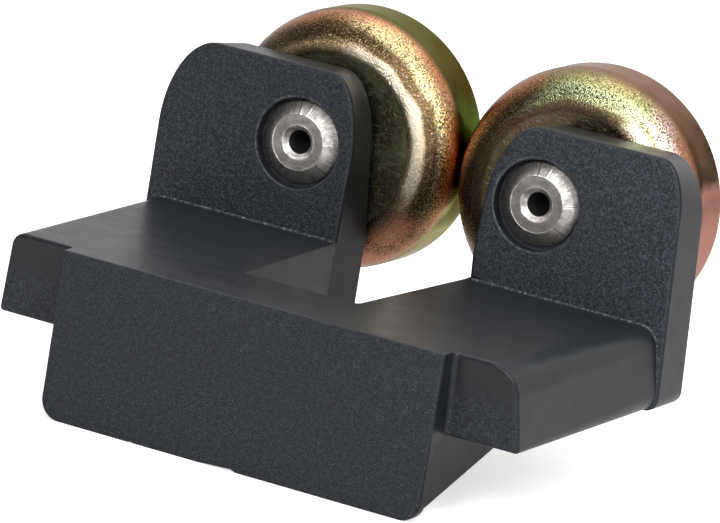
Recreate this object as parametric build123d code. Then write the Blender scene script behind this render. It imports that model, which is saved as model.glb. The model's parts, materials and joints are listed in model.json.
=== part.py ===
"""Sliding door roller: a moulded carriage with two pressed steel wheels on hollow rivet axles.

Frame: millimetres, +Z up, +X along the door, +Y from the door face back to the wheels.
The origin is on the door face, midway along it, level with the underside of the base.
"""
import os
from math import cos, radians, sin

from build123d import *

# ---- Carriage: front plate, base, wedge block and notch -------------------------------
plate_width = 60.0
plate_bottom_z = -12.2
plate_corner_radius = 3.0
plate_thickness = 1.8
gate_mark = [(-4.6, 0), (-3.4, 0.15), (0.9, 0.4), (1.8, 0)]     # cut-off gate: X, depth
edge_nick = [(-15.6, 0), (-15.2, 0.2), (-14.6, 0)]
block_inset = 0.4              # the wedge block's sides lie this far inside the plate's
block_front_z = -10.4          # the wedge block's underside, just behind the plate
block_end_y = 39.6             # where that underside runs out into the base
tab_setback = 2.8              # the base's two front tabs stand back from the door face
tab_lean = 1.65                # and slope back by this much from top to bottom
base_thickness = 12.0
base_front_top = 39.8          # half-widths of the base at its front and back ends
base_front_bottom = 41.1
base_back_top = 41.0
base_back_bottom = 43.0
base_edge_left = (2.1, 2.1)    # rounding of the base's edges, at its front and back ends
base_edge_right = (4.8, 3.0)
base_edge_low = (0.5, 2.5)
back_y = 54.5
notch_front_y = 14.4
notch_front_half = 9.1
notch_ear_half = 10.7
notch_back_half = 10.1
notch_corner_radius = 1.2

# ---- Ears that carry the axles --------------------------------------------------------
ear_front_y = 46.0
# Outlines of each ear at its front and back: the top, the X of each side where it meets its
# rounded corner, and the width and height of that corner.
ear_outlines = {
    "left": [
        dict(top=36.3, left=-42.35, left_corner=(7.8, 13.5), right=-10.3, right_corner=(5.0, 12.0)),
        dict(top=35.6, left=-42.35, left_corner=(8.6, 13.5), right=-11.4, right_corner=(6.4, 12.5))],
    "right": [
        dict(top=36.1, left=11.2, left_corner=(7.3, 13.5), right=41.5, right_corner=(4.0, 9.0)),
        dict(top=35.5, left=11.2, left_corner=(8.0, 13.5), right=41.5, right_corner=(6.5, 10.0))]}
ear_outer_foot = {"left": 42.4, "right": 43.0}
ear_foot_radius = 2.0
foot_facet = [(10.96, 46.0, 17.2), (12.5, 46.0, 12.0), (10.7, 47.6, 12.0)]   # right ear, inner foot
axle_x = 19.4
axle_z = 23.95                 # the wheels hang this high
head_z = 24.95                 # the rivets' heads are turned off their shanks' centres
recess_z = 24.8
head_recess_radius = 6.65
head_recess_depth = 2.0
axle_bore_radius = 4.1

# ---- Ribbed underside -----------------------------------------------------------------
skin = 3.2                     # top skin and outer walls
rib = 2.0
pocket_width = 6.2
block_pocket_x = 13.9          # where the wedge block's first pocket starts
side_pocket_gap = 1.4          # from the wedge block's side to the pocket beside it
centre_pocket_front = 4.0
cross_ribs = (17.5, 30.5)      # front faces of the ribs that run along the door

# ---- Edge rounding --------------------------------------------------------------------
edge_round = 0.5
plate_round = 0.4
tab_root_radius = 0.8
recess_round = 0.3

# ---- Wheels: pressed front shell with the tread, pressed rear shell with the hub collar
wheel_radius = 19.3
wheel_front_y = 56.2
wheel_width = 12.0
sheet = 1.6
shoulder_radius = 6.3
hub_lip_radius = 7.4
rear_disc_y = 8.0              # from the wheel's front face to the rear shell's disc
rear_bend_radius = 2.4
rear_flange_setback = 0.6      # the rear shell's flange ends this far inside the tread
rim_round = 0.5

# ---- Ball bearing, 8 x 22 x 7 mm ------------------------------------------------------
bearing_bore = 4.0
bearing_outer = 11.0
bearing_width = 7.0
pitch_radius = 7.5
ball_radius = 1.984
ball_count = 7
groove_radius = 2.07
inner_shoulder = 6.05
outer_shoulder = 8.95
shield_seat_radius = 9.5
shield_seat_depth = 0.8
shield_thickness = 0.3
shield_inset = 0.35
shield_bore = 6.35
ring_chamfer = 0.3
cage_inner = 6.6
cage_outer = 8.4
cage_back = 2.65               # solid side of the crown cage, from the ball centres
cage_front = 1.0
cage_pocket_radius = 2.1

# ---- Hollow rivet axle and its washers ------------------------------------------------
shank_radius = 3.98
rivet_hole_radius = 1.75
head_radius = 6.2
head_rim = 0.3
head_bevel = 1.5
head_flat_radius = 4.1
countersink_radius = 2.5
countersink_depth = 0.75
washer_radius = 5.8
tail_washer_thickness = 1.2
tail_radius = 5.3
tail_height = 1.4
tail_rim = 0.5
tail_bevel = 0.9
tail_flare = 0.8
washer_round = 0.25

# ---- Modelling allowances -------------------------------------------------------------
overlap = 1.0                  # how far joined solids and cuts run past each other
near = 0.05                    # how close an edge has to be to count as being there

SIDES = {"left": -1, "right": 1}


def upright(y):
    """A plane that faces the door, at this distance behind the door face."""
    return Plane(origin=(0, y, 0), x_dir=(1, 0, 0), z_dir=(0, -1, 0))


def spun(points, side, start_y=0.0, height=axle_z):
    """A ring or shaft on an axle: (radius, distance back) points turned about its centre line."""
    with BuildPart() as ring:
        with BuildSketch(Plane.XY):
            with BuildLine():
                Polyline(*points, close=True)
            make_face()
        revolve(axis=Axis.Y)
    return ring.part.move(Location((side * axle_x, start_y, height)))


# ---- Carriage -------------------------------------------------------------------------
def base_section(y, half_top, half_bottom, end):
    """The base seen from the front, at one of its ends."""
    with BuildSketch(upright(y)) as section:
        with BuildLine():
            Polyline((-half_bottom, 0), (half_bottom, 0), (half_top, base_thickness),
                     (-half_top, base_thickness), close=True)
        make_face()
        fillet(section.vertices().group_by(Axis.Y)[0], base_edge_low[end])
        fillet(section.vertices().group_by(Axis.Y)[-1].sort_by(Axis.X)[0], base_edge_left[end])
        fillet(section.vertices().group_by(Axis.Y)[-1].sort_by(Axis.X)[-1], base_edge_right[end])
    return section.sketch


def ear_section(y, side, inner, outline):
    """One ear seen from the front. Its outer foot is rounded."""
    left_w, left_h = outline["left_corner"]
    right_w, right_h = outline["right_corner"]
    left, right, top = outline["left"], outline["right"], outline["top"]
    outer = ear_outer_foot[side]
    if side == "left":
        foot = [(-outer, 0), (-inner, 0), (-inner, base_thickness)]
    else:
        foot = [(inner, base_thickness), (inner, 0), (outer, 0)]
    with BuildSketch(upright(y)) as section:
        with BuildLine():
            Polyline((left, top - left_h), *foot, (right, top - right_h))
            EllipticalCenterArc((right - right_w, top - right_h), right_w, right_h,
                                start_angle=0, arc_size=90)
            Line((right - right_w, top), (left + left_w, top))
            EllipticalCenterArc((left + left_w, top - left_h), left_w, left_h,
                                start_angle=90, arc_size=90)
        make_face()
        low = section.vertices().group_by(Axis.Y)[0].sort_by(Axis.X)
        fillet(low[0] if side == "left" else low[-1], ear_foot_radius)
    return section.sketch


def ear(side):
    ends = ((ear_front_y, notch_ear_half), (back_y, notch_back_half))
    sections = [ear_section(y, side, inner, outline)
                for (y, inner), outline in zip(ends, ear_outlines[side])]
    solid = loft(sections, ruled=True)
    front = solid.faces().sort_by(Axis.Y)[0]
    solid = fillet(front.edges().sort_by(Axis.Z)[2:], edge_round)
    if side == "right":
        facet = Face(Wire.make_polygon(foot_facet))
        solid -= Solid.extrude(facet, Vector(-overlap, -overlap, 0) * 2)
    return solid


def plate_and_block():
    half = plate_width / 2
    with BuildPart() as body:
        with BuildSketch(upright(0)) as outline:
            with Locations((0, (base_thickness + plate_bottom_z) / 2)):
                Rectangle(plate_width, base_thickness - plate_bottom_z)
            fillet(outline.vertices().group_by(Axis.Y)[0], plate_corner_radius)
        extrude(amount=-plate_thickness)
        fillet(body.faces().sort_by(Axis.Y)[0].edges(), plate_round)
        with BuildSketch(Plane.YZ.offset(-(half - block_inset))):
            with BuildLine():
                Polyline((overlap, base_thickness - overlap), (overlap, block_front_z),
                         (plate_thickness, block_front_z), (block_end_y, 0),
                         (block_end_y, base_thickness - overlap), close=True)
            make_face()
        extrude(amount=plate_width - 2 * block_inset)
        tab_depth = tab_setback + tab_lean
        with Locations((0, overlap + tab_depth / 2, base_thickness / 2)):
            Box(plate_width, tab_depth, base_thickness)
        for mark in (gate_mark, edge_nick):
            with BuildSketch(upright(-overlap)):
                with BuildLine():
                    Polyline(*[(x, plate_bottom_z + depth) for x, depth in mark],
                             (mark[-1][0], plate_bottom_z - overlap),
                             (mark[0][0], plate_bottom_z - overlap), close=True)
                make_face()
            extrude(amount=-(plate_thickness + 2 * overlap), mode=Mode.SUBTRACT)
    return body.part


def notch():
    with BuildPart() as cut:
        with BuildSketch(Plane.XY.offset(plate_bottom_z - overlap)) as outline:
            with BuildLine():
                Polyline((-notch_front_half, notch_front_y), (notch_front_half, notch_front_y),
                         (notch_ear_half, ear_front_y), (notch_back_half, back_y),
                         (notch_back_half, back_y + overlap),
                         (-notch_back_half, back_y + overlap),
                         (-notch_back_half, back_y), (-notch_ear_half, ear_front_y), close=True)
            make_face()
            fillet(outline.vertices().group_by(Axis.Y)[0], notch_corner_radius)
        extrude(amount=base_thickness - plate_bottom_z + 2 * overlap)
    return cut.part


def underside_pockets():
    """Open-bottomed pockets between ribs. Each is cut from under the top skin downwards."""
    block_half = plate_width / 2 - block_inset
    low, high = plate_bottom_z - overlap, base_thickness - skin
    starts = [tab_setback + tab_lean + skin] + [y + rib for y in cross_ribs]
    rows = list(zip(starts, [*cross_ribs, ear_front_y - rib]))
    pitch = pocket_width + rib
    places = []
    for x in (block_pocket_x, block_pocket_x + pitch, block_half + side_pocket_gap):
        for side in SIDES.values():
            places += [(side * (x + pocket_width / 2), front, back) for front, back in rows]
    places += [(x, centre_pocket_front, notch_front_y - skin) for x in (-pitch, 0, pitch)]
    return [Pos(x, (front + back) / 2, (low + high) / 2) * Box(pocket_width, back - front, high - low)
            for x, front, back in places]


def base():
    front = base_section(tab_setback, base_front_top, base_front_bottom, 0)
    back = base_section(ear_front_y + edge_round, base_back_top, base_back_bottom, 1)
    solid = loft([front, back], ruled=True)
    with BuildPart() as slope:
        with BuildSketch(Plane.YZ.offset(-base_back_bottom)):
            with BuildLine():
                Polyline((tab_setback, base_thickness + overlap), (tab_setback, base_thickness),
                         (tab_setback + tab_lean, 0), (tab_setback + tab_lean, -overlap),
                         (tab_setback - overlap, -overlap), (tab_setback - overlap, base_thickness + overlap),
                         close=True)
            make_face()
        extrude(amount=2 * base_back_bottom)
    solid -= slope.part
    front_edges = [e for e in solid.edges() if e.bounding_box().max.Y < tab_setback + tab_lean + near]
    return fillet(front_edges, edge_round)


def carriage():
    body = base() + plate_and_block()
    tab_roots = [e for e in body.edges()
                 if abs(abs(e.center().X) - plate_width / 2) < near
                 and tab_setback < e.center().Y < tab_setback + tab_lean and e.length > base_thickness / 2]
    body = fillet(tab_roots, tab_root_radius)
    body -= notch()
    for side in SIDES:
        body += ear(side)
    for pocket in underside_pockets():
        body -= pocket
    for side in SIDES.values():
        recess = Cylinder(head_recess_radius, head_recess_depth, rotation=(90, 0, 0))
        bore = Cylinder(axle_bore_radius, back_y - ear_front_y + 2 * overlap, rotation=(90, 0, 0))
        body -= Pos(side * axle_x, ear_front_y + head_recess_depth / 2, recess_z) * recess
        body -= Pos(side * axle_x, (ear_front_y + back_y) / 2, axle_z) * bore
    recess_rims = [e for e in body.edges().filter_by(GeomType.CIRCLE)
                   if abs(e.radius - head_recess_radius) < near and e.center().Y < ear_front_y + near]
    return fillet(recess_rims, recess_round)


# ---- Wheel shells ---------------------------------------------------------------------
def wheel_front_shell(side):
    """Disc, rounded shoulder and tread, pressed from one sheet."""
    r_in = wheel_radius - sheet
    flat = wheel_radius - shoulder_radius
    with BuildPart() as shell:
        with BuildSketch(Plane.XY) as outline:
            with BuildLine():
                Line((hub_lip_radius, 0), (flat, 0))
                CenterArc((flat, shoulder_radius), shoulder_radius, -90, 90)
                Line((wheel_radius, shoulder_radius), (wheel_radius, wheel_width))
                Line((wheel_radius, wheel_width), (r_in, wheel_width))
                Line((r_in, wheel_width), (r_in, shoulder_radius))
                CenterArc((flat, shoulder_radius), shoulder_radius - sheet, 0, -90)
                Line((flat, sheet), (hub_lip_radius, sheet))
                Line((hub_lip_radius, sheet), (hub_lip_radius, 0))
            make_face()
            fillet(outline.vertices().group_by(Axis.Y)[-1], rim_round)
        revolve(axis=Axis.Y)
    return shell.part.move(Location((side * axle_x, wheel_front_y, axle_z)))


def wheel_rear_shell(side):
    """Outer flange inside the tread, flat disc, and a collar drawn forward round the bearing."""
    flange = wheel_radius - sheet
    bend, inner_bend = rear_bend_radius, rear_bend_radius - sheet
    collar = bearing_outer + sheet
    top, low, rim = rear_disc_y + sheet, rear_disc_y, wheel_width - rear_flange_setback
    with BuildPart() as shell:
        with BuildSketch(Plane.XY):
            with BuildLine():
                Polyline((flange, low + bend), (flange, rim), (flange - sheet, rim),
                         (flange - sheet, low + bend))
                CenterArc((flange - bend, low + bend), inner_bend, 0, -90)
                Line((flange - bend, top), (bearing_outer + inner_bend, top))
                CenterArc((bearing_outer + inner_bend, top - inner_bend), inner_bend, 90, 90)
                Line((bearing_outer, top - inner_bend), (bearing_outer, sheet))
                Line((bearing_outer, sheet), (collar, sheet))
                Line((collar, sheet), (collar, low))
                Line((collar, low), (flange - bend, low))
                CenterArc((flange - bend, low + bend), bend, -90, 90)
            make_face()
        revolve(axis=Axis.Y)
    return shell.part.move(Location((side * axle_x, wheel_front_y, axle_z)))


# ---- Ball bearing ---------------------------------------------------------------------
bearing_front_y = wheel_front_y + sheet
bearing_mid_y = bearing_front_y + bearing_width / 2


def groove(side):
    torus = Torus(pitch_radius, groove_radius, rotation=(90, 0, 0))
    return torus.move(Location((side * axle_x, bearing_mid_y, axle_z)))


def bearing_inner_ring(side):
    w, c = bearing_width, ring_chamfer
    ring = spun([(bearing_bore, c), (bearing_bore + c, 0), (inner_shoulder, 0),
                 (inner_shoulder, w), (bearing_bore + c, w), (bearing_bore, w - c)],
                side, bearing_front_y)
    return ring - groove(side)


def bearing_outer_ring(side):
    w, c, seat = bearing_width, ring_chamfer, shield_seat_depth
    ring = spun([(shield_seat_radius, 0), (bearing_outer - c, 0), (bearing_outer, c),
                 (bearing_outer, w - c), (bearing_outer - c, w), (shield_seat_radius, w),
                 (shield_seat_radius, w - seat), (outer_shoulder, w - seat),
                 (outer_shoulder, seat), (shield_seat_radius, seat)],
                side, bearing_front_y)
    return ring - groove(side)


def bearing_shield(side, rear):
    start = bearing_width - shield_inset - shield_thickness if rear else shield_inset
    end = start + shield_thickness
    return spun([(shield_bore, start), (shield_seat_radius, start),
                 (shield_seat_radius, end), (shield_bore, end)], side, bearing_front_y)


def ball_places(side):
    for i in range(ball_count):
        turn = radians(360 * i / ball_count)
        yield Pos(side * axle_x + pitch_radius * sin(turn), bearing_mid_y,
                  axle_z + pitch_radius * cos(turn))


def balls(side):
    return Compound([place * Sphere(ball_radius) for place in ball_places(side)])


def ball_cage(side):
    """Crown cage: a ring with a spherical pocket for each ball, open towards the front."""
    cage = spun([(cage_inner, -cage_front), (cage_outer, -cage_front),
                 (cage_outer, cage_back), (cage_inner, cage_back)], side, bearing_mid_y)
    pocket = Sphere(cage_pocket_radius, rotation=(90, 0, 0))
    return cage - [place * pocket for place in ball_places(side)]


# ---- Rivet axle and washers -----------------------------------------------------------
bearing_back_y = bearing_front_y + bearing_width
tail_start_y = bearing_back_y + tail_washer_thickness
countersink_slope = (countersink_radius - rivet_hole_radius) / countersink_depth


def rivet_axle(side):
    """Turned head in the ear's recess, hollow shank, and a tail closed over the washer."""
    seat = ear_front_y + head_recess_depth
    face = seat - head_rim - head_bevel
    end = tail_start_y + tail_height
    head = spun([(0, face), (head_flat_radius, face), (head_radius, seat - head_rim),
                 (head_radius, seat), (0, seat)], side, height=head_z)
    shank = spun([(0, seat), (shank_radius, seat), (shank_radius, tail_start_y),
                  (tail_radius, tail_start_y), (tail_radius, tail_start_y + tail_rim),
                  (tail_radius - tail_bevel, end), (0, end)], side)
    hole = spun([(0, face - overlap), (countersink_radius + countersink_slope * overlap, face - overlap),
                 (rivet_hole_radius, face + countersink_depth),
                 (rivet_hole_radius, end - tail_bevel),
                 (rivet_hole_radius + tail_flare, end), (rivet_hole_radius + tail_flare, end + overlap),
                 (0, end + overlap)], side, height=head_z)
    return head + shank - hole


def washer(side, front, back):
    r, c, bore = washer_radius, washer_round, bearing_bore
    return spun([(bore, front), (r - c, front), (r, front + c), (r, back - c),
                 (r - c, back), (bore, back)], side)


def main():
    nodes = {"carriage": carriage()}
    for name, side in SIDES.items():
        nodes[f"rivet_axle_{name}"] = rivet_axle(side)
        nodes[f"spacer_washer_{name}"] = washer(side, back_y, bearing_front_y)
        nodes[f"tail_washer_{name}"] = washer(side, bearing_back_y, tail_start_y)
        nodes[f"bearing_inner_ring_{name}"] = bearing_inner_ring(side)
        nodes[f"bearing_outer_ring_{name}"] = bearing_outer_ring(side)
        nodes[f"bearing_front_shield_{name}"] = bearing_shield(side, rear=False)
        nodes[f"bearing_rear_shield_{name}"] = bearing_shield(side, rear=True)
        nodes[f"bearing_balls_{name}"] = balls(side)
        nodes[f"ball_cage_{name}"] = ball_cage(side)
        nodes[f"wheel_front_shell_{name}"] = wheel_front_shell(side)
        nodes[f"wheel_rear_shell_{name}"] = wheel_rear_shell(side)
    os.makedirs("parts", exist_ok=True)
    for node, solid in nodes.items():
        solid.label = node
        export_step(solid, f"parts/{node}.step")


main()
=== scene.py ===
"""Sliding door roller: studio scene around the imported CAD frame. Metres, in the CAD's frame."""
import json
from math import asin, cos, pi, radians, sin, tan

import bmesh
import bpy
from mathutils import Matrix, Vector


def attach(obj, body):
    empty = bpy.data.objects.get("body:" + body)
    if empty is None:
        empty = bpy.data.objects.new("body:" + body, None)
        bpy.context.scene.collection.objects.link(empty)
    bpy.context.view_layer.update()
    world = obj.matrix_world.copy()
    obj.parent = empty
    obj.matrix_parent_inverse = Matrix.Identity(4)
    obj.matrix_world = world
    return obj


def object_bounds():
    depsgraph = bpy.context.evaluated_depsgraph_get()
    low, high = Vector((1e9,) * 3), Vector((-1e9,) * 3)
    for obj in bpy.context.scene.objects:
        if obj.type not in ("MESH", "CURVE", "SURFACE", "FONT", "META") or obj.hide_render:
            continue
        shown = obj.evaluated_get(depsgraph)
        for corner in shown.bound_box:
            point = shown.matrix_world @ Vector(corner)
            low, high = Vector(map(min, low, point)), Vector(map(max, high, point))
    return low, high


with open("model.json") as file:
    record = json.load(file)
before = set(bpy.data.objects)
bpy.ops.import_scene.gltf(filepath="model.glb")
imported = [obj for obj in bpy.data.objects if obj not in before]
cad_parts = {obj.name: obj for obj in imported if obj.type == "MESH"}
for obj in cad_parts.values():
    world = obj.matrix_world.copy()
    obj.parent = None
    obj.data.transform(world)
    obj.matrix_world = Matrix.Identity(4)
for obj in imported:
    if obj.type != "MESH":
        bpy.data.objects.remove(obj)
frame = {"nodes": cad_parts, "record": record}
cad_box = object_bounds()
nodes = frame["nodes"]
SIDES = {"left": -1, "right": 1}

# Places of the CAD, in metres
axle_x, axle_z, head_z = 0.0194, 0.02395, 0.02495
wheel_front_y, wheel_radius, ear_front_y = 0.0562, 0.0193, 0.0460

# Where the looks change: wheels, as radii and as depths behind the wheel's front
film_start_radius = 0.010
disc_fade_radii = 0.0129, 0.0135
disc_depth = 0.0003
tread_fade_depths = 0.0040, 0.0052

# Where the looks change: carriage, as start and end of a fade across, back or up
tab_face_y, tab_polish_z = (0.0027, 0.0058), (0.0045, 0.0085)
right_ear_x, right_ear_y = (0.005, 0.012), (0.040, 0.044)
between_ears_x, block_top_z = (0.0125, 0.0160), (-0.0012, -0.0004)

# Where the looks change: rivet heads and the recess about them, as radii
bore_radius, countersink_edge, flat_edge, bevel_end = 0.00176, 0.00246, 0.0041, 0.0063
recess_rim_radius = 0.00668


# ---- Node material helpers ------------------------------------------------------------
class Mat:
    """A node material with short calls for the nodes used here."""

    def __init__(self, name):
        self.mat = bpy.data.materials.new(name)
        self.mat.use_nodes = True
        self.tree = self.mat.node_tree
        self.tree.nodes.clear()
        self.out = self.tree.nodes.new("ShaderNodeOutputMaterial")
        self.bsdf = self.tree.nodes.new("ShaderNodeBsdfPrincipled")
        self.link(self.bsdf.outputs[0], self.out.inputs["Surface"])
        self.coord = self.tree.nodes.new("ShaderNodeTexCoord").outputs["Object"]

    def link(self, a, b):
        self.tree.links.new(a, b)

    def put(self, node, key, value):
        socket = node.inputs[key]
        if isinstance(value, bpy.types.NodeSocket):
            self.link(value, socket)
        else:
            socket.default_value = value

    def math(self, op, a, b=0.0, c=0.0):
        n = self.tree.nodes.new("ShaderNodeMath")
        n.operation = op
        for i, v in enumerate((a, b, c)):
            self.put(n, i, v)
        return n.outputs[0]

    def product(self, first, *others):
        for value in others:
            first = self.math("MULTIPLY", first, value)
        return first

    def rest(self, share):
        """What a share leaves of 1."""
        return self.math("SUBTRACT", 1.0, share)

    def vmath(self, op, a, b=(0, 0, 0)):
        n = self.tree.nodes.new("ShaderNodeVectorMath")
        n.operation = op
        self.put(n, 0, a)
        if op == "SCALE":
            self.put(n, "Scale", b)
        else:
            self.put(n, 1, b)
        return n.outputs["Value"] if op in ("LENGTH", "DOT_PRODUCT", "DISTANCE") else n.outputs[0]

    def xyz(self, v):
        n = self.tree.nodes.new("ShaderNodeSeparateXYZ")
        self.put(n, 0, v)
        return n.outputs

    def combine(self, x, y, z):
        n = self.tree.nodes.new("ShaderNodeCombineXYZ")
        for i, v in enumerate((x, y, z)):
            self.put(n, i, v)
        return n.outputs[0]

    def noise(self, scale, detail=2.0, rough=0.5, vector=None):
        n = self.tree.nodes.new("ShaderNodeTexNoise")
        self.put(n, "Vector", vector or self.coord)
        for key, v in (("Scale", scale), ("Detail", detail), ("Roughness", rough)):
            self.put(n, key, v)
        return n.outputs[0]

    def stretched(self, x, y, z, detail=2.0, rough=0.5):
        """Noise with its own scale along each axis."""
        return self.noise(1.0, detail, rough, self.vmath("MULTIPLY", self.coord, (x, y, z)))

    def voronoi(self, scale, out="Distance"):
        n = self.tree.nodes.new("ShaderNodeTexVoronoi")
        self.put(n, "Vector", self.coord)
        self.put(n, "Scale", scale)
        return n.outputs[out]

    def span(self, value, low, high, to_low=0.0, to_high=1.0, smooth=False):
        n = self.tree.nodes.new("ShaderNodeMapRange")
        n.interpolation_type = "SMOOTHSTEP" if smooth else "LINEAR"
        for i, v in enumerate((value, low, high, to_low, to_high)):
            self.put(n, i, v)
        return n.outputs[0]

    def within(self, value, low, high, soft_low, soft_high):
        """1 between low and high, fading to 0 over a soft edge on each side."""
        return self.math("MULTIPLY", self.span(value, low - soft_low, low),
                         self.span(value, high + soft_high, high))

    def mix(self, factor, a, b, blend="MIX"):
        n = self.tree.nodes.new("ShaderNodeMix")
        n.data_type, n.blend_type = "RGBA", blend
        self.put(n, 0, factor)
        for i, v in ((6, a), (7, b)):
            self.put(n, i, (*v, 1) if isinstance(v, tuple) and len(v) == 3 else v)
        return n.outputs[2]

    def ramp(self, value, stops):
        n = self.tree.nodes.new("ShaderNodeValToRGB")
        els = n.color_ramp.elements
        while len(els) < len(stops):
            els.new(0.5)
        for e, (p, c) in zip(els, stops):
            e.position, e.color = p, (*c, 1)
        self.put(n, 0, value)
        return n.outputs[0]

    def bump(self, height, strength, distance, normal=None):
        n = self.tree.nodes.new("ShaderNodeBump")
        self.put(n, "Strength", strength)
        self.put(n, "Distance", distance)
        self.put(n, "Height", height)
        if normal is not None:
            self.put(n, "Normal", normal)
        return n.outputs[0]

    def normal(self):
        return self.tree.nodes.new("ShaderNodeNewGeometry").outputs["Normal"]

    def surface(self, **sockets):
        for key, v in sockets.items():
            value = (*v, 1) if isinstance(v, tuple) and len(v) == 3 else v
            self.put(self.bsdf, key.replace("_", " "), value)
        return self.mat


def round_axle(m, height):
    """How far a point is across and above the nearer axle, and -1 on the left or 1 on the right."""
    p = m.xyz(m.coord)
    side = m.math("SIGN", p[0])
    dx = m.math("SUBTRACT", p[0], m.math("MULTIPLY", side, axle_x))
    return dx, m.math("SUBTRACT", p[2], height), side


# ---- Carriage -------------------------------------------------------------------------
def grained_skin(m, p, pit):
    """Spark-eroded texture: dark pits, pale crests and a few specks, with painted light making faces
    paler further back and the right ear paler still.
    """
    colour = m.ramp(pit, [(0.36, (0.004, 0.0048, 0.0062)), (0.5, (0.014, 0.0162, 0.0205)),
                          (0.64, (0.050, 0.055, 0.065))])
    rare = m.math("GREATER_THAN", m.xyz(m.voronoi(2600, out="Color"))[0], 0.80)
    small = m.math("LESS_THAN", m.voronoi(2600), 0.22)
    specks = m.product(rare, small, m.span(m.noise(55, 3.0, 0.6), 0.38, 0.62, 0.0, 0.7))
    colour = m.mix(specks, colour, (0.11, 0.115, 0.125))
    # Painted light: faces further back are made paler, and the right ear paler still.
    right_ear = m.product(m.span(p[0], *right_ear_x), m.span(p[1], *right_ear_y))
    shade = m.math("ADD", m.span(p[1], 0.0, 0.044, 0.86, 1.02), m.product(right_ear, 0.30))
    return m.vmath("SCALE", colour, shade)


def satin_skin(m, up, painted_recess_shade):
    """Smooth faces: faint streaks, with painted light making them paler on top and painted shade
    making them darker beside the block and between the ears.
    """
    colour = m.ramp(m.stretched(40, 260, 300, 3.0, 0.6),
                    [(0.3, (0.0095, 0.0108, 0.0125)), (0.7, (0.0135, 0.0152, 0.017))])
    shade = m.math("SUBTRACT", m.span(up, 0.0, 1.0, 1.0, 1.35), m.product(painted_recess_shade, 0.35))
    return m.vmath("SCALE", colour, shade)


def recess_rim(m, p):
    """The edge of the round recess about each rivet head, lightened as a painted highlight and broken
    up like scuff marks.
    """
    across = m.combine(m.math("SUBTRACT", m.math("ABSOLUTE", p[0]), axle_x), 0.0,
                       m.math("SUBTRACT", p[2], head_z))
    rim = m.within(m.vmath("LENGTH", across), recess_rim_radius, recess_rim_radius + 0.00016,
                   0.00013, 0.00016)
    on_face = m.within(p[1], ear_front_y - 0.0002, ear_front_y + 0.0001, 0.0008, 0.0003)
    return m.product(rim, on_face, m.span(m.noise(1300, 4.0, 0.7), 0.42, 0.60, 0.0, 0.55))


def carriage_plastic(name="carriage_plastic", root_highlight=0.0):
    """Charcoal moulding: grained on the faces that look at the door, satin elsewhere."""
    m = Mat(name)
    p, normal = m.xyz(m.coord), m.xyz(m.normal())
    tab_polish = m.product(m.within(p[1], *tab_face_y, 0.0005, 0.0004),
                           m.span(p[2], *tab_polish_z, smooth=True))
    grain = m.product(m.span(m.product(normal[1], -1.0), 0.6, 0.9), m.rest(tab_polish))
    pit = m.math("ADD", m.product(m.noise(5600, 2.0, 0.7), 0.8), m.product(m.noise(1500), 0.2))
    sideways = m.math("ABSOLUTE", normal[0])
    away_from_block = m.math("MINIMUM", m.span(m.math("ABSOLUTE", p[0]), *between_ears_x),
                             m.span(p[2], *block_top_z))
    # Painted shade on the sideways faces beside the block and between the ears; it also lowers their
    # gloss.
    painted_recess_shade = m.product(m.span(sideways, 0.5, 0.9), m.rest(away_from_block))
    colour = m.mix(grain, satin_skin(m, m.span(normal[2], 0.5, 0.9), painted_recess_shade), grained_skin(m, p, pit))

    # Edges are lightened as rubbed wear and also as a painted highlight where they catch the light.
    bevel = m.tree.nodes.new("ShaderNodeBevel")
    bevel.samples = 6
    m.put(bevel, "Radius", 0.00022)
    worn_edge_highlight = m.span(m.vmath("DOT_PRODUCT", bevel.outputs[0], m.normal()), 0.995, 0.88, 0.0, 0.5)
    worn_edge_highlight = m.product(worn_edge_highlight, m.span(m.noise(900, 3.0), 0.4, 0.62, 0.1, 1.0))
    colour = m.mix(worn_edge_highlight, colour, (0.06, 0.065, 0.072))
    # Painted highlight along the rims of the recesses round the rivet heads.
    colour = m.mix(recess_rim(m, p), colour, (0.13, 0.135, 0.145))
    # Pale marks on the ear-root strips: a painted highlight along the fillet, broken up like scuff
    # marks.
    if root_highlight:
        patchy_marks = m.span(m.noise(1900, 4.0, 0.7), 0.50, 0.62, 0.0, root_highlight)
        colour = m.mix(patchy_marks, colour, (0.20, 0.205, 0.21))

    uneven = m.span(m.noise(300, 4.0), 0.3, 0.7, -0.03, 0.05)
    rough = m.math("ADD", m.span(grain, 0.0, 1.0, 0.34, 0.60), uneven)
    shaped = m.bump(m.noise(60), 0.06, 0.0002, bevel.outputs[0])
    shaped = m.bump(m.noise(1500), 0.03, 0.00003, shaped)
    m.put(m.bsdf, "Normal", m.bump(m.product(pit, grain), 0.5, 0.00012, shaped))
    gloss = m.math("SUBTRACT", m.span(sideways, 0.5, 0.9, 0.25, 0.19), m.product(painted_recess_shade, 0.055))
    return m.surface(Base_Color=colour, Roughness=rough, Specular_IOR_Level=gloss)


# ---- Wheels ---------------------------------------------------------------------------
def near(m, turn, centre, half, soft=0.06):
    """1 inside a sector of the turn, fading to 0 over its soft edge."""
    away = m.math("ABSOLUTE", m.math("WRAP", m.math("SUBTRACT", turn, centre), 0.5, -0.5))
    return m.span(away, half + soft, half, smooth=True)


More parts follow.
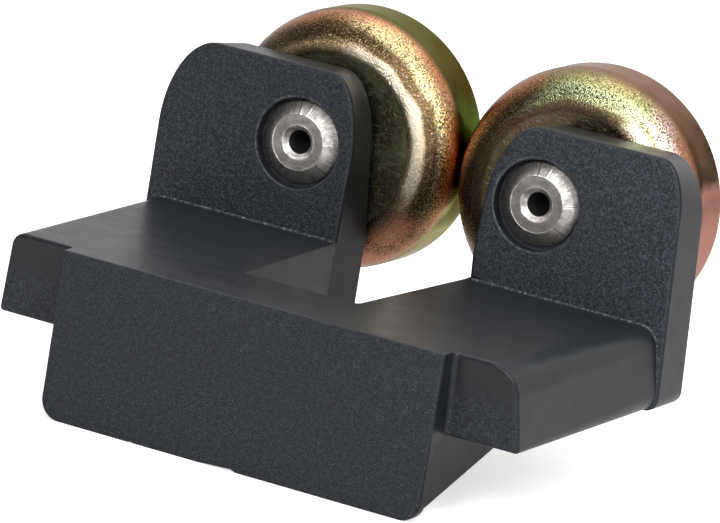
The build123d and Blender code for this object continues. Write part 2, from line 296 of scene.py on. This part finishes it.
def front_film_with_painted_light(m, ring, turn, right_wheel):
    """Rings of film from the disc's edge outwards, one set for each sector of a wheel, with painted
    highlight bands in the lit sectors and painted shade in the dim ones.
    """
    disc_l, disc_r = (0.056, 0.062, 0.026), (0.045, 0.026, 0.020)
    left_film_lit = m.ramp(ring, [
        (0.0, disc_l), (0.32, (0.060, 0.055, 0.026)), (0.37, (0.42, 0.34, 0.20)),
        (0.42, (1.0, 0.90, 0.72)), (0.54, (0.98, 0.80, 0.58)), (0.60, (0.13, 0.075, 0.034)),
        (0.72, (0.10, 0.058, 0.026)), (0.79, (0.80, 0.64, 0.34)), (0.88, (0.70, 0.48, 0.23)),
        (0.95, (0.62, 0.22, 0.10)), (1.0, (0.42, 0.13, 0.06))])
    left_film_shaded = m.ramp(ring, [
        (0.0, disc_l), (0.33, (0.080, 0.075, 0.036)), (0.42, (0.30, 0.22, 0.12)),
        (0.52, (0.60, 0.44, 0.24)), (0.64, (0.15, 0.080, 0.035)), (0.80, (0.13, 0.060, 0.028)),
        (0.88, (0.36, 0.17, 0.07)), (0.95, (0.62, 0.22, 0.10)), (1.0, (0.42, 0.13, 0.06))])
    foot = m.ramp(ring, [
        (0.0, disc_l), (0.33, (0.080, 0.085, 0.045)), (0.44, (0.36, 0.24, 0.14)),
        (0.60, (0.52, 0.24, 0.14)), (0.80, (0.60, 0.24, 0.15)), (1.0, (0.40, 0.12, 0.07))])
    right_film_shaded = m.ramp(ring, [
        (0.0, disc_r), (0.40, (0.060, 0.032, 0.022)), (0.60, (0.085, 0.042, 0.026)),
        (0.74, (0.16, 0.070, 0.032)), (0.86, (0.52, 0.21, 0.08)), (0.94, (0.66, 0.24, 0.09)),
        (1.0, (0.36, 0.11, 0.05))])
    right_film_top_lit = m.ramp(ring, [
        (0.0, disc_r), (0.40, (0.055, 0.028, 0.024)), (0.50, (0.15, 0.11, 0.06)),
        (0.58, (0.62, 0.66, 0.34)), (0.72, (0.80, 0.90, 0.50)), (0.82, (0.42, 0.44, 0.18)),
        (0.92, (0.30, 0.22, 0.09)), (1.0, (0.36, 0.15, 0.07))])
    right_film_lit = m.ramp(ring, [
        (0.0, disc_r), (0.36, (0.30, 0.15, 0.12)), (0.46, (0.92, 0.96, 0.62)),
        (0.56, (0.95, 0.98, 0.66)), (0.64, (0.34, 0.32, 0.14)), (0.74, (0.86, 0.72, 0.58)),
        (0.86, (0.92, 0.62, 0.56)), (0.95, (0.52, 0.22, 0.14)), (1.0, (0.38, 0.13, 0.08))])
    # Lit and shaded copies of the film by sector: bright bands are painted highlights, dim sectors
    # painted shade.
    left = m.mix(near(m, turn, 0.60, 0.115, 0.08), left_film_shaded, left_film_lit)
    left = m.mix(near(m, turn, 0.27, 0.10), left, foot)
    right = m.mix(near(m, turn, 0.74, 0.08), right_film_shaded, right_film_top_lit)
    right = m.mix(near(m, turn, 0.55, 0.09), right, right_film_lit)
    right = m.mix(near(m, turn, 0.30, 0.10), right, foot)
    elsewhere = m.vmath("ADD", m.coord, (0.31, 0.07, 0.11))
    stain = m.ramp(m.noise(210, 3.0, 0.6, elsewhere), [
        (0.36, (0.20, 0.26, 0.08)), (0.5, (0.55, 0.42, 0.22)), (0.64, (0.50, 0.24, 0.18))])
    return m.mix(0.10, m.mix(right_wheel, left, right), stain)


def tread_film_with_painted_light(m, turn, right_wheel):
    """The film round the treads, with painted light and shade by angle round the wheel, and drifting
    clouds.
    """
    drift = m.math("ADD", turn, m.span(m.noise(60), 0.3, 0.7, -0.03, 0.03))
    # Film colour by angle round the tread, with lit and shaded stretches painted in.
    left = m.ramp(drift, [
        (0.0, (0.10, 0.09, 0.035)), (0.30, (0.38, 0.19, 0.14)), (0.42, (0.42, 0.44, 0.20)),
        (0.49, (0.055, 0.045, 0.018)), (0.53, (0.075, 0.13, 0.030)), (0.58, (0.060, 0.040, 0.014)),
        (0.65, (0.125, 0.105, 0.040)), (0.76, (0.180, 0.170, 0.075)), (0.88, (0.20, 0.14, 0.07)),
        (1.0, (0.10, 0.09, 0.035))])
    right = m.ramp(drift, [
        (0.0, (0.14, 0.09, 0.045)), (0.28, (0.30, 0.22, 0.12)), (0.42, (0.44, 0.22, 0.17)),
        (0.52, (0.42, 0.19, 0.15)), (0.565, (0.040, 0.024, 0.012)), (0.60, (0.055, 0.034, 0.015)),
        (0.64, (0.16, 0.085, 0.045)), (0.72, (0.34, 0.19, 0.15)), (0.85, (0.24, 0.14, 0.08)),
        (1.0, (0.14, 0.09, 0.045))])
    clouds = m.span(m.stretched(110, 45, 110), 0.50, 0.70, 0.0, 0.35)
    return m.mix(clouds, m.mix(right_wheel, left, right), (0.30, 0.20, 0.12))


def disc_scratches(m, dx, dz):
    """Fine scratches in three directions."""
    level = m.span(m.stretched(700, 700, 4200, 2.0, 0.6), 0.57, 0.68)
    upright = m.span(m.stretched(5200, 700, 1100, 3.0, 0.7), 0.58, 0.70)
    slanted = m.combine(m.product(m.math("ADD", dx, dz), 5600.0), 0.0,
                        m.product(m.math("SUBTRACT", dx, dz), 420.0))
    slant = m.span(m.noise(1.0, 2.0, 0.6, slanted), 0.60, 0.70)
    return m.math("MAXIMUM", m.math("MAXIMUM", level, upright), slant)


def yellow_zinc():
    """Yellow chromated zinc: drifting olive, pink and gold film with painted highlight bands and
    shade, orange-peel skin on the shoulder.
    """
    m = Mat("yellow_zinc")
    dx, dz, side = round_axle(m, axle_z)
    r = m.vmath("LENGTH", m.combine(dx, 0.0, dz))
    back = m.math("SUBTRACT", m.xyz(m.coord)[1], wheel_front_y)
    right_wheel = m.math("GREATER_THAN", side, 0.0)
    disc_full, disc_end = disc_fade_radii
    on_disc = m.product(m.span(r, disc_end, disc_full), m.span(back, 2 * disc_depth, disc_depth))
    on_tread = m.span(back, *tread_fade_depths)
    shoulder = m.product(m.rest(on_disc), m.rest(on_tread))
    wobble = m.span(m.noise(90, 2.0, 0.4), 0.3, 0.7, -0.0006, 0.0006)
    ring = m.span(m.math("ADD", r, wobble), film_start_radius, wheel_radius)
    angle = m.math("ADD", m.math("ARCTAN2", dz, dx), m.span(m.noise(110), 0.3, 0.7, -0.3, 0.3))
    turn = m.span(angle, -pi, pi)

    # The film carries painted highlight bands and painted shade by sector, which turn with the wheel.
    film = front_film_with_painted_light(m, ring, turn, right_wheel)
    haze = m.product(m.span(m.noise(260, 3.0, 0.6), 0.42, 0.68), on_disc,
                     m.rest(m.product(right_wheel, 0.7)))
    film = m.mix(m.product(haze, 0.8), film, (0.24, 0.26, 0.14))
    colour = m.mix(on_tread, film, tread_film_with_painted_light(m, turn, right_wheel))

    # The shoulder's skin has dark pits, densest in the brown band, and fine facet glints painted in as
    # bright colour.
    skin = m.noise(3600, 3.0, 0.65)
    brown_band = m.product(m.span(ring, 0.50, 0.62), m.span(ring, 1.0, 0.86))
    rough_skin = m.product(shoulder, m.rest(m.product(near(m, turn, 0.27, 0.08), 0.75)))
    pits = m.product(m.span(skin, 0.53, 0.40), rough_skin, m.span(brown_band, 0.0, 1.0, 0.25, 1.0))
    colour = m.mix(pits, colour, (0.055, 0.035, 0.018))
    facet_glints = m.product(m.span(m.noise(4200, 2.0, 0.6), 0.58, 0.68), rough_skin,
                       m.span(ring, 0.42, 0.60, 0.05, 0.9))
    # Painted glint colour: the film brightened and warmed.
    glint = m.mix(0.55, m.mix(1.0, colour, (1.9, 1.9, 1.9), blend="MULTIPLY"), (0.95, 0.80, 0.55))
    colour = m.mix(m.product(facet_glints, 0.85), colour, glint)
    scratches = m.product(disc_scratches(m, dx, dz), on_disc)
    colour = m.mix(m.product(scratches, 0.75), colour, (0.34, 0.33, 0.21))

    rough = m.math("ADD", m.span(shoulder, 0.0, 1.0, 0.20, 0.17), m.span(skin, 0.3, 0.7, -0.04, 0.07))
    rough = m.math("ADD", rough, m.product(on_disc, 0.12))
    peel = m.product(skin, m.span(shoulder, 0.0, 1.0, 0.10, 1.0))
    m.put(m.bsdf, "Normal", m.bump(peel, 0.6, 0.00016, m.bump(scratches, 0.3, 0.00004)))
    tread_tint = m.mix(right_wheel, (0.62, 0.60, 0.46), (0.74, 0.66, 0.62))
    tint = m.mix(on_tread, (1.0, 1.0, 1.0), tread_tint)
    return m.surface(Base_Color=colour, Metallic=1.0, Roughness=rough, Specular_Tint=tint)


# ---- Rivets, washers and bearings -----------------------------------------------------
def turned_steel():
    """Bright turned rivet: tool rings on the flat, radial nicks on the bevel, painted highlights on
    the turned edges, and a bore darkened with painted shade.
    """
    m = Mat("turned_steel")
    dx, dz, _ = round_axle(m, head_z)
    across = m.combine(dx, 0.0, dz)
    r, u = m.vmath("LENGTH", across), m.vmath("NORMALIZE", across)
    wander = m.product(m.noise(500), 0.00025)
    rings = m.noise(1.0, 3.0, 0.7, m.combine(m.product(m.math("ADD", r, wander), 2600.0), 0.0, 0.0))
    nicks = m.noise(1.0, 2.0, 0.6, m.vmath("SCALE", u, 26.0))
    on_bevel = m.within(r, flat_edge + 0.0002, bevel_end - 0.0003, 0.0003, 0.0003)
    on_flat = m.within(r, countersink_edge + 0.00014, flat_edge - 0.0001, 0.0002, 0.0002)
    grime = m.noise(700, 4.0, 0.65)
    colour = m.ramp(grime, [(0.34, (0.34, 0.315, 0.29)), (0.55, (0.66, 0.625, 0.59)),
                            (0.7, (0.86, 0.825, 0.78))])
    colour = m.mix(m.product(on_flat, 0.7), colour, (0.19, 0.185, 0.175))
    colour = m.mix(m.product(m.span(rings, 0.5, 0.7), 0.5), colour, (0.12, 0.115, 0.11))
    # Darker scuff marks on the bevel.
    patchy_marks = m.product(m.span(m.noise(1.0, 3.0, 0.7, m.vmath("SCALE", u, 60.0)), 0.50, 0.68), on_bevel)
    colour = m.mix(m.product(patchy_marks, 0.55), colour, (0.20, 0.18, 0.16))

    # The two turned edges are polished and also lightened as a painted highlight, more on some arcs
    # than on others.
    crest = m.within(r, flat_edge - 0.00002, flat_edge + 0.00004, 0.00016, 0.00018)
    lip = m.within(r, countersink_edge, countersink_edge + 0.0001, 0.00014, 0.00016)
    bright_arc = m.span(m.noise(1.0, 2.0, 0.5, m.vmath("SCALE", u, 2.6)), 0.38, 0.62, 0.15, 0.95)
    polish_and_highlight = m.product(m.math("MAXIMUM", crest, lip), m.span(grime, 0.35, 0.60, 0.3, 1.0), bright_arc)
    colour = m.mix(polish_and_highlight, colour, (0.96, 0.91, 0.86))
    # Painted shade down the bore: near black, rougher and not metal.
    down_the_bore = m.span(m.xyz(m.coord)[1], ear_front_y + 0.0004, ear_front_y + 0.0007)
    bore_shade = m.product(m.span(r, bore_radius + 0.00006, bore_radius), down_the_bore)
    colour = m.mix(bore_shade, colour, (0.004, 0.004, 0.004))

    rough = m.math("ADD", m.span(grime, 0.3, 0.7, 0.50, 0.32), m.product(bore_shade, 0.4))
    shaped = m.bump(rings, 0.45, 0.00006)
    shaped = m.bump(m.product(nicks, on_bevel), 0.6, 0.00030, shaped)
    m.put(m.bsdf, "Normal", m.bump(m.noise(1800, 3.0), 0.25, 0.00006, shaped))
    return m.surface(Base_Color=colour, Metallic=m.rest(bore_shade), Roughness=rough)


def plain_steel(name, light, dark, rough, ring_scale):
    """Plated or ground steel with faint concentric marks and a little grime."""
    m = Mat(name)
    dx, dz, _ = round_axle(m, axle_z)
    r = m.vmath("LENGTH", m.combine(dx, 0.0, dz))
    grime = m.noise(420, 4.0, 0.6)
    rings = m.noise(1.0, 2.0, 0.6, m.combine(m.product(r, ring_scale), 0.0, 0.0))
    colour = m.mix(m.span(grime, 0.35, 0.65), dark, light)
    m.put(m.bsdf, "Normal", m.bump(m.noise(1400), 0.08, 0.00003, m.bump(rings, 0.12, 0.00004)))
    uneven = m.span(rings, 0.3, 0.7, rough, rough + 0.06)
    roughness = m.math("ADD", m.span(grime, 0.3, 0.7, 0.07, -0.04), uneven)
    return m.surface(Base_Color=colour, Metallic=1.0, Roughness=roughness)


def cage_nylon():
    """Pale mottled nylon of the ball cages."""
    m = Mat("cage_nylon")
    mottle = m.noise(600, 4.0)
    m.put(m.bsdf, "Normal", m.bump(m.noise(2500), 0.15, 0.00004))
    return m.surface(Base_Color=m.mix(mottle, (0.50, 0.44, 0.30), (0.62, 0.56, 0.42)),
                     Roughness=m.span(mottle, 0.3, 0.7, 0.42, 0.55), Subsurface_Weight=0.1)


materials = {
    "carriage_plastic": carriage_plastic(),
    "yellow_zinc": yellow_zinc(),
    "turned_steel": turned_steel(),
    "plated_steel": plain_steel("plated_steel", (0.56, 0.56, 0.54), (0.36, 0.35, 0.33), 0.26, 2200),
    "bearing_steel": plain_steel("bearing_steel", (0.52, 0.52, 0.52), (0.40, 0.40, 0.40), 0.16, 4200),
    "ball_steel": plain_steel("ball_steel", (0.62, 0.62, 0.62), (0.52, 0.52, 0.52), 0.06, 900),
    "cage_nylon": cage_nylon(),
}
slot_of = {s["node"]: s["material_slot"] for s in frame["record"]["subparts"]}
for name, ob in nodes.items():
    ob.data.materials.clear()
    ob.data.materials.append(materials[slot_of[name]])

# ---- The fillet where each ear meets the base -----------------------------------------
# The ear-root strips' plastic carries pale marks as a painted highlight along the fillet.
root_highlight_plastic = carriage_plastic("carriage_plastic_root_highlight", root_highlight=0.6)
fillet_radius, fillet_end_z, platform_z = 0.00026, 0.0045, 0.0120
base_top_half, base_foot_half = 0.0410, 0.0430       # the base's half-widths beside the ears
base_rounding = {"left": 0.0021, "right": 0.0030}
notch_half = 0.0109
flat_steps, turn_steps, wall_steps, arc_steps = 24, 12, 8, 7


def root_path(side):
    """Points and outward directions along the line where an ear stands on the base, in (X, Z)."""
    r, sign = base_rounding[side], SIDES[side]
    wall = Vector((base_foot_half - base_top_half, -platform_z)).normalized()
    turn = pi / 2 - asin(wall.x)
    cx = base_top_half - r * tan(turn / 2)
    centre = Vector((cx, platform_z - r))
    path = []
    for i in range(flat_steps):
        x = notch_half + (cx - notch_half) * i / flat_steps
        path.append((Vector((x, platform_z)), Vector((0, 1))))
    for i in range(turn_steps + 1):
        a = turn * i / turn_steps
        out = Vector((sin(a), cos(a)))
        path.append((centre + out * r, out))
    start, out = path[-1]
    length = (start.y - fillet_end_z) / -wall.y
    path += [(start + wall * length * i / wall_steps, out) for i in range(1, wall_steps + 1)]
    return [(Vector((sign * p.x, p.y)), Vector((sign * o.x, o.y))) for p, o in path]


def root_fillet(side):
    """A thin concave strip along the foot of one ear, running out at its lower end."""
    mesh = bmesh.new()
    path = root_path(side)
    rows = []
    for n, (at, out) in enumerate(path):
        remaining = len(path) - n
        taper = min(1.0, remaining / wall_steps + 0.15) if remaining < wall_steps else 1.0
        size = fillet_radius * taper
        row = []
        for i in range(arc_steps + 1):
            a = pi / 2 * i / arc_steps
            rise, reach = size * (1 - cos(a)), size * (1 - sin(a))
            row.append(mesh.verts.new((at.x + out.x * rise, ear_front_y - reach, at.y + out.y * rise)))
        sunk = size * 0.2
        row.append(mesh.verts.new((at.x - out.x * sunk, ear_front_y + sunk, at.y - out.y * sunk)))
        rows.append(row)
    for a, b in zip(rows, rows[1:]):
        for i in range(len(a)):
            j = (i + 1) % len(a)
            mesh.faces.new((a[i], a[j], b[j], b[i]))
    for end in (rows[0], rows[-1]):
        mesh.faces.new(end)
    bmesh.ops.recalc_face_normals(mesh, faces=mesh.faces)
    data = bpy.data.meshes.new(f"ear_root_{side}")
    mesh.to_mesh(data)
    mesh.free()
    for face in data.polygons:
        face.use_smooth = len(face.vertices) == 4
    ob = bpy.data.objects.new(f"ear_root_{side}", data)
    bpy.context.collection.objects.link(ob)
    data.materials.append(root_highlight_plastic)
    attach(ob, "carriage_frame")


for side in SIDES:
    root_fillet(side)


# ---- Floor, light and camera ----------------------------------------------------------
def pale_floor():
    """A white floor, lifted to white where the camera sees it."""
    bpy.ops.mesh.primitive_plane_add(size=4, location=(0, 0, cad_box[0][2]))
    floor = bpy.context.object
    floor.name = "floor"
    paper = Mat("floor_paper")
    seen = paper.tree.nodes.new("ShaderNodeLightPath").outputs["Is Camera Ray"]
    glow = paper.product(seen, 0.6)
    floor.data.materials.append(paper.surface(
        Base_Color=(0.85, 0.85, 0.85), Roughness=0.8,
        Emission_Color=(1.0, 1.0, 1.0), Emission_Strength=glow))
    return floor


def studio_world():
    """A room that is dark in front of the part and bright behind it. The camera itself sees white."""
    world = bpy.data.worlds.new("studio")
    bpy.context.scene.world = world
    world.use_nodes = True
    sky = world.node_tree
    new = sky.nodes.new
    backdrop, room = sky.nodes["Background"], new("ShaderNodeBackground")
    backdrop.inputs[0].default_value = (1, 1, 1, 1)
    facing = new("ShaderNodeVectorMath")
    facing.operation = "DOT_PRODUCT"
    facing.inputs[1].default_value = (0.35, 0.90, 0.25)
    fade = new("ShaderNodeValToRGB")
    stops = fade.color_ramp.elements
    stops[0].position, stops[0].color = 0.0, (0.16, 0.163, 0.17, 1)
    stops[1].position, stops[1].color = 0.85, (1.0, 1.0, 1.0, 1)
    stops.new(0.42).color = (0.34, 0.345, 0.355, 1)
    shift, choose = new("ShaderNodeMapRange"), new("ShaderNodeMixShader")
    shift.inputs[1].default_value, shift.inputs[2].default_value = -1.0, 1.0
    for a, b in ((new("ShaderNodeTexCoord").outputs["Generated"], facing.inputs[0]),
                 (facing.outputs["Value"], shift.inputs[0]),
                 (shift.outputs[0], fade.inputs[0]),
                 (fade.outputs[0], room.inputs[0]),
                 (new("ShaderNodeLightPath").outputs["Is Camera Ray"], choose.inputs[0]),
                 (room.outputs[0], choose.inputs[1]),
                 (backdrop.outputs[0], choose.inputs[2]),
                 (choose.outputs[0], sky.nodes["World Output"].inputs["Surface"])):
        sky.links.new(a, b)


def area_light(name, where, at, size, power):
    data = bpy.data.lights.new(name, "AREA")
    data.shape, data.size, data.size_y = "RECTANGLE", size[0], size[1]
    data.energy = power
    ob = bpy.data.objects.new(name, data)
    bpy.context.collection.objects.link(ob)
    ob.location = where
    ob.rotation_euler = (Vector(at) - Vector(where)).to_track_quat("-Z", "Y").to_euler()


camera_azimuth, camera_elevation, camera_roll = 25.156, 12.380, 9.324     # degrees
camera_distance = 0.8650
camera_target = (-0.00037, 0.03322, 0.01340)
camera_lens, sensor_width = 304.8, 36.0                                  # millimetres


def place_camera():
    """The camera at the photo's angle, aimed at its target and rolled."""
    az, el, roll = (radians(v) for v in (camera_azimuth, camera_elevation, camera_roll))
    back = Vector((sin(az) * cos(el), -cos(az) * cos(el), sin(el)))
    level = Vector((cos(az), sin(az), 0))
    upright = back.cross(level)
    right = level * cos(roll) + upright * sin(roll)
    up = back.cross(right)
    data = bpy.data.cameras.new("camera")
    data.lens, data.sensor_width, data.sensor_fit = camera_lens, sensor_width, "HORIZONTAL"
    data.clip_start, data.clip_end = 0.05, 20
    ob = bpy.data.objects.new("camera", data)
    bpy.context.collection.objects.link(ob)
    place = Matrix((right, up, back)).transposed().to_4x4()
    place.translation = Vector(camera_target) + back * camera_distance
    ob.matrix_world = place
    bpy.context.scene.camera = ob


floor = pale_floor()
studio_world()
area_light("key", (0.42, -0.30, 0.42), (0, 0.04, 0.01), (0.20, 0.34), 2.6)
area_light("top", (-0.05, 0.05, 0.60), (0, 0.04, 0.01), (0.45, 0.45), 1.5)
area_light("front", (0.10, -0.55, 0.33), (0, 0.04, 0.02), (0.26, 0.14), 2.2)
place_camera()
bpy.context.scene.view_settings.view_transform = "Standard"
